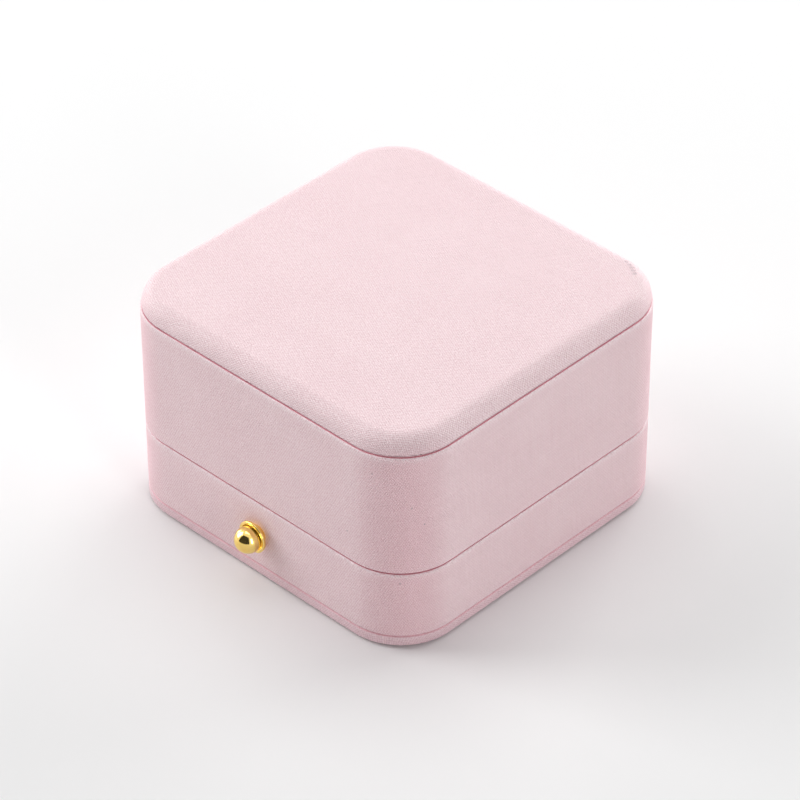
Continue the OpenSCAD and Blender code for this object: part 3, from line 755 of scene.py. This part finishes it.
class Net:
    """Small helper for a node tree: adds nodes, and feeds inputs with values or links."""

    def __init__(self, tree):
        self.tree = tree

    def feed(self, node, inputs):
        """Feeds a node's inputs with values, output sockets, or nodes, whose first output is taken."""
        for key, value in inputs.items():
            if isinstance(value, bpy.types.Node):
                value = value.outputs[0]
            if isinstance(value, bpy.types.NodeSocket):
                self.tree.links.new(value, node.inputs[key])
            else:
                node.inputs[key].default_value = value

    def add(self, kind, inputs=None, **settings):
        """New node with its settings made and its inputs fed."""
        node = self.tree.nodes.new(kind)
        for key, value in settings.items():
            setattr(node, key, value)
        self.feed(node, inputs or {})
        return node

    def coords(self, kind):
        """Texture coordinates: Object or UV."""
        return self.add("ShaderNodeTexCoord").outputs[kind]

    def math(self, operation, *values, clamp=False):
        """Result of a Math node."""
        inputs = dict(enumerate(values))
        return self.add("ShaderNodeMath", inputs, operation=operation, use_clamp=clamp).outputs[0]

    def times(self, a, b):
        """Product of two values."""
        return self.math("MULTIPLY", a, b)

    def about_half(self, value, weight):
        """The value's distance from 0.5, times a weight."""
        return self.times(self.math("SUBTRACT", value, 0.5), weight)

    def span(self, value, a, b, to_a, to_b):
        """The value's span from a to b drawn out to the one from to_a to to_b, and held at its ends."""
        return self.add("ShaderNodeMapRange", dict(enumerate((value, a, b, to_a, to_b)))).outputs[0]

    def mix(self, share, a, b):
        """Colour a where the share is 0, and b where it is 1."""
        return self.add("ShaderNodeMix", {0: share, 6: a, 7: b}, data_type="RGBA").outputs[2]

    def stretch(self, vector, factors):
        """The vector times a factor for each axis."""
        return self.add("ShaderNodeVectorMath", {0: vector, 1: factors}, operation="MULTIPLY").outputs[0]

    def distance(self, vector, place):
        """Distance from a place."""
        return self.add("ShaderNodeVectorMath", {0: vector, 1: place}, operation="DISTANCE").outputs["Value"]

    def noise(self, vector, scale, detail=2.0, roughness=0.5):
        """Noise from 0 to 1, mostly near 0.5."""
        inputs = {"Vector": vector, "Scale": scale, "Detail": detail, "Roughness": roughness}
        return self.add("ShaderNodeTexNoise", inputs).outputs["Fac"]

    def bump(self, height, strength, distance):
        """Normals of a relief that is some distance high."""
        return self.add("ShaderNodeBump", {"Height": height, "Strength": strength, "Distance": distance})


def srgb(r, g, b):
    """Linear colour of an sRGB one given from 0 to 255."""
    values = [c / 255 for c in (r, g, b)]
    return (*[c / 12.92 if c <= 0.04045 else ((c + 0.055) / 1.055) ** 2.4 for c in values], 1.0)


def node_group(name, inputs, outputs):
    """Empty shader node group with float or vector sockets."""
    kinds = {"f": "NodeSocketFloat", "v": "NodeSocketVector"}
    tree = bpy.data.node_groups.new(name, "ShaderNodeTree")
    for label, kind in inputs:
        tree.interface.new_socket(name=label, in_out="INPUT", socket_type=kinds[kind])
    for label, kind in outputs:
        tree.interface.new_socket(name=label, in_out="OUTPUT", socket_type=kinds[kind])
    return tree, Net(tree), tree.nodes.new("NodeGroupInput"), tree.nodes.new("NodeGroupOutput")


def weave_group():
    """Plain weave in thread coordinates: over and under cells as a product of two cosines, each cell
    rounded, and threads that differ a little from their neighbours."""
    tree, net, given, out = node_group(
        "plain_weave", [("Vector", "v"), ("Pitch", "v"), ("Wander", "f")],
        [("Over", "f"), ("Height", "f"), ("Streak", "f")])
    cloth = given.outputs["Vector"]
    drift = net.about_half(net.noise(cloth, 0.35), given.outputs["Wander"])
    parts = net.add("ShaderNodeSeparateXYZ", {0: cloth})
    pitches = net.add("ShaderNodeSeparateXYZ", {0: given.outputs["Pitch"]})
    waves = []
    for axis in range(2):
        drifted = net.math("ADD", parts.outputs[axis], drift)
        angle = net.math("DIVIDE", net.times(drifted, math.pi), pitches.outputs[axis])
        waves.append(net.math("COSINE", angle))
    cell = net.times(*waves)
    streaks = [net.noise(net.stretch(cloth, factors), 1.0, 1.0)
               for factors in ((1.6, 0.05, 1.0), (0.05, 1.6, 1.0))]
    net.feed(out, {
        "Over": net.math("MULTIPLY_ADD", cell, 0.5, 0.5),
        "Height": net.math("POWER", net.math("ABSOLUTE", cell), 0.6),
        "Streak": net.times(net.math("ADD", *streaks), 0.5),
    })
    return tree


def pile_group():
    """Short pile: very fine noise for the fibres over slow brushed patches."""
    tree, net, given, out = node_group("short_pile", [("Vector", "v"), ("Fibre", "f")],
                                       [("Height", "f"), ("Brushed", "f")])
    here = given.outputs["Vector"]
    net.feed(out, {
        "Height": net.noise(here, given.outputs["Fibre"], 3.0, 0.7),
        "Brushed": net.noise(here, 90.0, 3.0),
    })
    return tree


def material(name):
    """New material and its node helper and shader."""
    made = bpy.data.materials.new(name)
    made.use_nodes = True
    return made, Net(made.node_tree), made.node_tree.nodes["Principled BSDF"]


WEAVE = weave_group()
PILE = pile_group()
THREADS = (0.3125, 0.476, 1)  # pitches of the two sets of threads, in mm
WALL_TURN, TOP_TURN = 4.6, -98.0  # degrees that the cloth is turned by
# Pale colour of the rims: wear and a painted highlight.
PALE_WEAR_AND_HIGHLIGHT = srgb(254, 240, 243)
# Deep rose of painted shade, in the seam gaps and on the corners.
ROSE_SHADE = srgb(228, 142, 159)
FADED_GREY = srgb(178, 154, 160)
WALL_SPECKS = ((29.8, -47.5, 30.7), (37.1, -46.5, 50.8), (45.9, -38.6, 36.5), (42.5, -43.2, 19.6),
               (44.3, -41.2, 41.7))
TOP_SCUFF = ((38.0, 41.5, 60.85), (36.9, 42.3, 60.83), (35.8, 43.0, 60.8), (34.6, 43.5, 60.78),
             (33.3, 43.9, 60.75))


def marks(places, reach, least):
    """Grey marks for leatherette(): places in mm, how far each reaches, and its strength where faintest."""
    return [(Vector(place) * MM, reach * MM, least) for place in places]


def leatherette(name, light, dark, turned_by, cloudy, scuffs=()):
    """Woven leatherette: pale threads over darker ones, painted glints, slow mottling, rims paled by wear
    and a painted highlight, painted rose shade in the seam gaps and on the corners, and small grey marks at
    given places. A painted raking light makes the weave and the glints stronger on the faces towards the
    front and back than on the sides. The cloth is turned by some degrees, and cloudy is how much the
    mottling shows."""
    # Strengths of the painted shade on the corners and in the seam gaps, and of the grey marks.
    corner_shade_depth, crease_shade_depth, scuff_depth = 0.22, 0.95, 0.8
    matt, glossy = 0.64, 0.30
    made, net, shader = material(name)
    threads, here = net.coords("UV"), net.coords("Object")
    laid = net.add("ShaderNodeVectorRotate", {"Vector": threads, "Angle": math.radians(turned_by)},
                   rotation_type="Z_AXIS")
    weave = net.add("ShaderNodeGroup", {"Vector": laid, "Pitch": THREADS, "Wander": 0.08}, node_tree=WEAVE)
    over, streak = weave.outputs["Over"], weave.outputs["Streak"]
    mottle = net.noise(here, 55.0, 3.0)
    # Fine grain: relief and roughness, and painted glints in the colour.
    grain_and_glints = net.noise(threads, 2.3, 1.0, 0.8)
    # Masks: pale rims (wear and painted highlight), painted rose shade in the seam gaps, painted shade on
    # the corners, and the painted raking light.
    edge, crease_shade, turn, raking_light = (net.add("ShaderNodeAttribute", attribute_name=label).outputs["Fac"]
                               for label in ("edge", "crease_shade", "turn", "raking_light"))
    share = 0.5
    # The weave's contrast and the painted glints are scaled by the painted raking light.
    for value, weight in ((over, raking_light), (grain_and_glints, net.times(raking_light, 1.9)), (streak, 0.4), (mottle, cloudy)):
        share = net.math("ADD", share, net.about_half(value, weight))
    colour = net.mix(net.math("MINIMUM", share, 1.0, clamp=True), dark, light)
    # Painted shade on the corners.
    colour = net.mix(net.times(turn, corner_shade_depth), colour, ROSE_SHADE)
    # Pale rims: wear and a painted highlight.
    wear_and_highlight = net.times(edge, net.span(net.noise(threads, 1.5), 0.40, 0.58, 0.2, 1.0))
    colour = net.mix(wear_and_highlight, colour, PALE_WEAR_AND_HIGHLIGHT)
    # Painted rose shade in the seam gaps.
    colour = net.mix(net.times(crease_shade, crease_shade_depth), colour, ROSE_SHADE)
    for place, reach, least in scuffs:
        near = net.span(net.distance(here, place), 0.4 * reach, reach, scuff_depth, 0.0)
        broken = net.span(net.noise(threads, 1.7, 3.0, 0.7), 0.45, 0.6, least, 1.0)
        colour = net.mix(net.math("MULTIPLY", near, broken, clamp=True), colour, FADED_GREY)
    gloss = net.math("ADD", net.span(grain_and_glints, 0.4, 0.7, 0.0, 0.5), net.times(edge, 0.7), clamp=True)
    net.feed(shader, {
        "Base Color": colour,
        "Roughness": net.span(gloss, 0.0, 1.0, matt, glossy),
        "Specular IOR Level": 0.5,
        "Sheen Weight": 0.12,
        "Sheen Roughness": 0.45,
        "Normal": net.bump(net.math("ADD", over, net.times(grain_and_glints, 1.6)), 1.0, 0.08 * MM),
    })
    return made


def pile_cloth(name, light, dark, fibre, sheen, depth):
    """Velvet or felt: brushed patches and fine fibres."""
    made, net, shader = material(name)
    pile = net.add("ShaderNodeGroup", {"Vector": net.coords("Object"), "Fibre": fibre}, node_tree=PILE)
    height, brushed = pile.outputs["Height"], pile.outputs["Brushed"]
    share = net.math("ADD", net.span(brushed, 0.3, 0.7, 0.15, 0.75), net.about_half(height, 0.7), clamp=True)
    net.feed(shader, {
        "Base Color": net.mix(share, dark, light),
        "Roughness": net.span(brushed, 0.3, 0.7, 0.95, 0.8),
        "Specular IOR Level": 0.2,
        "Sheen Weight": sheen,
        "Sheen Roughness": 0.35,
        "Normal": net.bump(height, 0.6, depth),
    })
    return made


def satin_cloth(name, light, dark, pitch):
    """Satin: very fine threads, long soft highlights."""
    made, net, shader = material(name)
    inputs = {"Vector": net.coords("UV"), "Pitch": (pitch, pitch, 1), "Wander": 0.05}
    weave = net.add("ShaderNodeGroup", inputs, node_tree=WEAVE)
    streak = weave.outputs["Streak"]
    slow = net.span(net.noise(net.coords("Object"), 70.0, 3.0), 0.3, 0.7, 0.2, 0.8)
    share = net.math("ADD", slow, net.about_half(streak, 0.8), clamp=True)
    net.feed(shader, {
        "Base Color": net.mix(share, dark, light),
        "Roughness": net.span(streak, 0.3, 0.7, 0.30, 0.42),
        "Sheen Weight": 0.3,
        "Normal": net.bump(weave.outputs["Height"], 0.3, 0.02 * MM),
    })
    return made


def metal(name, light, dark, rough, scratch, brushed):
    """Metal: faint handling marks in the polish, and fine lines where it is brushed."""
    made, net, shader = material(name)
    here = net.coords("Object")
    smudge = net.noise(here, 420.0, 3.0)
    lines = net.noise(net.stretch(here, (brushed, 1.0, 1.0)), 5200.0, 2.0, 0.7)
    smudged = net.span(smudge, 0.35, 0.7, rough, rough * 2.0)
    net.feed(shader, {
        "Base Color": net.mix(net.span(smudge, 0.3, 0.7, 0.0, 1.0), dark, light),
        "Roughness": net.math("ADD", smudged, net.times(lines, scratch)),
        "Metallic": 1.0,
        "Normal": net.bump(lines, scratch, 0.01 * MM),
    })
    return made


def plain_board(name, light, dark, scale, rough):
    """Greyboard, foam or moulded plastic: flecks and a fine rough surface."""
    made, net, shader = material(name)
    fleck = net.noise(net.coords("Object"), scale, 4.0, 0.7)
    net.feed(shader, {
        "Base Color": net.mix(net.span(fleck, 0.35, 0.65, 0.0, 1.0), dark, light),
        "Roughness": net.span(fleck, 0.3, 0.7, rough, min(1.0, rough + 0.15)),
        "Normal": net.bump(fleck, 0.4, 0.05 * MM),
    })
    return made


def dress(made, *pieces):
    """Gives pieces a material."""
    for piece in pieces:
        piece.data.materials.clear()
        piece.data.materials.append(made)


# ---- camera, lights and floor ----

CAMERA_UNIT = 2 * HALF_W / 100  # the camera's place is given in hundredths of the case's width
AZIMUTH, ELEVATION, ROLL = 43.96, 37.67, -0.14
SHIFT_RIGHT, SHIFT_UP, AIM_HEIGHT, DISTANCE = 0.728, -1.963, 30.0, 1023.7
LENS_PX, IMAGE_PX, SENSOR_MM = 4048.9, 800, 36.0
LIGHT_DISTANCE = 1.3
LIGHT_AIM = Vector((0, 0, 0.03))
LEVEL_LIGHT = 0.15  # strength of the world's light on the case


def direction(azimuth, elevation):
    """Unit vector towards a place on the sky, with azimuth 0 in front of the case and 90 on its right."""
    a, e = math.radians(azimuth), math.radians(elevation)
    return Vector((math.sin(a) * math.cos(e), -math.cos(a) * math.cos(e), math.sin(e)))


def camera_axes():
    """Right, up and backward directions of the camera."""
    back = direction(AZIMUTH, ELEVATION)
    right = direction(AZIMUTH + 90, 0)
    return right, back.cross(right), back


def make_camera():
    """Long lens above the front right corner."""
    right, up, back = camera_axes()
    at = right * SHIFT_RIGHT + up * SHIFT_UP + Vector((0, 0, AIM_HEIGHT)) + back * DISTANCE
    turn = Matrix((right, up, back)).transposed() @ Matrix.Rotation(math.radians(ROLL), 3, "Z")
    data = bpy.data.cameras.new("camera")
    data.sensor_width = SENSOR_MM
    data.lens = LENS_PX / IMAGE_PX * SENSOR_MM
    data.clip_start, data.clip_end = 0.05, 20
    camera = bpy.data.objects.new("camera", data)
    camera.matrix_world = Matrix.Translation(at * CAMERA_UNIT) @ turn.to_4x4()
    bpy.context.scene.collection.objects.link(camera)
    bpy.context.scene.camera = camera


def soft_light(name, azimuth, elevation, size, power):
    """Rectangular studio light that looks at the case, with its width and height in metres."""
    data = bpy.data.lights.new(name, "AREA")
    data.shape = "RECTANGLE"
    data.size, data.size_y = size
    data.energy = power
    lamp = bpy.data.objects.new(name, data)
    lamp.location = direction(azimuth, elevation) * LIGHT_DISTANCE
    lamp.rotation_euler = (LIGHT_AIM - lamp.location).to_track_quat("-Z", "Y").to_euler()
    bpy.context.scene.collection.objects.link(lamp)


def make_lights():
    """Softbox on the left, a low wide one behind, one overhead, and weaker strips left behind and right."""
    soft_light("left_softbox", 300, 30, (0.6, 1.0), 9.9)
    soft_light("rear_softbox", 180, 15, (1.3, 0.6), 12.0)
    soft_light("overhead", 210, 76, (1.0, 1.0), 6.85)
    soft_light("left_rear_strip", 262, 15, (0.8, 0.6), 4.5)
    soft_light("right_strip", 76, 20, (0.3, 0.9), 4.45)


def dark_screen():
    """Dark screen behind the camera, which only metal and gloss see."""
    half_width, height, azimuth = 1.2, 2.4, 12
    at = direction(azimuth, 0) * LIGHT_DISTANCE
    across = Vector((0, 0, 1)).cross(direction(azimuth, 0)) * half_width
    lower = np.array([at - across, at + across], float)
    screen = surface("dark_screen", np.stack([lower, lower + [0, 0, height]]))
    made, net, shader = material("dark_screen")
    net.feed(shader, {"Base Color": (0.0, 0.0, 0.0, 1)})
    dress(made, screen)
    for ray in ("camera", "diffuse", "transmission", "volume_scatter", "shadow"):
        setattr(screen, "visible_" + ray, False)


def seen_by_eye(net):
    """1 where the camera looks, straight, through glass or in a gloss, and 0 for the light that it gives."""
    paths = net.add("ShaderNodeLightPath").outputs
    seen = net.math("MAXIMUM", paths["Is Camera Ray"], paths["Is Transmission Ray"])
    return net.math("MAXIMUM", seen, paths["Is Glossy Ray"])


def make_world():
    """White seen by the camera, in metal and through glass; a faint level light on the object."""
    world = bpy.data.worlds.new("studio")
    world.use_nodes = True
    net = Net(world.node_tree)
    strength = net.span(seen_by_eye(net), 0.0, 1.0, LEVEL_LIGHT, 1.0)
    net.feed(world.node_tree.nodes["Background"], {"Strength": strength, "Color": (1, 1, 1, 1)})
    bpy.context.scene.world = world


def make_floor():
    """Pale floor that turns white away from the case."""
    half_size = 3.0
    middle = (0.02, -0.06, 0)
    pale_within, white_beyond = 0.12, 0.42
    g = np.array([-half_size, half_size])
    x, y = np.meshgrid(g, g, indexing="ij")
    floor = surface("studio_floor", np.stack([x, y, 0 * x], -1))
    made, net, shader = material("studio_floor")
    white = net.span(net.distance(net.coords("Object"), middle), pale_within, white_beyond, 0.0, 1.0)
    net.feed(shader, {"Base Color": (0.86, 0.86, 0.86, 1), "Roughness": 0.6})
    glow = net.add("ShaderNodeEmission", {"Color": (1, 1, 1, 1), "Strength": 1.0})
    blend = net.add("ShaderNodeMixShader", {0: net.times(white, seen_by_eye(net)), 1: shader, 2: glow})
    net.feed(made.node_tree.nodes["Material Output"], {"Surface": blend})
    dress(made, floor)


# ---- build ----


def build():
    """Makes every piece, its material, the lights and the camera."""
    rose, deeper_rose = srgb(254, 234, 237), srgb(227, 191, 197)
    cover_rose = leatherette("rose_leatherette", srgb(254, 232, 235), srgb(227, 188, 195), WALL_TURN, 0.35,
                             marks(WALL_SPECKS, 0.3, 1.0))
    plate_rose = leatherette("rose_leatherette_plate", srgb(246, 216, 222), srgb(217, 177, 185), WALL_TURN,
                             0.35)
    top_rose = leatherette("rose_leatherette_top", rose, deeper_rose, TOP_TURN, 0.2,
                           marks(TOP_SCUFF, 0.8, 0.5))
    velvet = pile_cloth("ivory_velvet", srgb(253, 246, 240), srgb(238, 224, 217), 3800.0, 0.6, 0.12 * MM)
    felt = pile_cloth("rose_felt", srgb(214, 190, 192), srgb(188, 160, 163), 1900.0, 0.3, 0.15 * MM)
    satin = satin_cloth("ivory_satin", srgb(253, 247, 242), srgb(242, 230, 223), 0.12)
    ribbon = satin_cloth("rose_ribbon", srgb(238, 205, 211), srgb(214, 170, 178), 0.16)
    brass = metal("polished_brass", srgb(254, 224, 138), srgb(244, 208, 118), 0.05, 0.03, 1.0)
    steel = metal("plain_steel", srgb(206, 208, 212), srgb(168, 171, 178), 0.22, 0.25, 0.12)
    board = plain_board("greyboard", srgb(176, 168, 156), srgb(142, 134, 124), 900.0, 0.8)
    moulded = plain_board("moulded_plastic", srgb(236, 222, 214), srgb(226, 210, 202), 600.0, 0.42)

    dress(cover_rose, lid_wall_cover(), base_wall_cover())
    dress(plate_rose, bottom_plate_cover())
    dress(top_rose, padded_top())
    dress(velvet,
          wall_lining("base_room_velvet", "base", "base_lining", BASE_LOW, high("base_lining").z),
          wall_lining("lid_room_velvet", "lid", "lid_lining", low("lid_lining").z, LID_TOP),
          insert_pad(), ring_roll(-1), ring_roll(1))
    dress(satin, lid_satin())
    dress(ribbon, pull_ribbon())
    dress(brass, button_knob(), bezel_ring())
    dress(steel, hinge_coil(), latch_leaf())

    nodes = frame["nodes"]
    kept = {
        board: ("bottom_board", "base_wall", "lid_wall", "top_board", "lid_pad_board"),
        felt: ("underside_felt",),
        velvet: ("floor_lining",),
        brass: ("strike_plate",),
        moulded: ("latch_housing",),
        steel: ("hinge_leaf_base", "hinge_leaf_lid", "hinge_pin", "hinge_rivets_base", "hinge_rivets_lid",
                "bezel_nut", "button_clip", "latch_rivet", "strike_rivets"),
    }
    for made, names in kept.items():
        dress(made, *(nodes[name] for name in names))

    make_floor()
    dark_screen()
    make_lights()
    make_world()
    make_camera()
    bpy.context.scene.view_settings.view_transform = "Standard"


build()
bpy.context.view_layer.update()
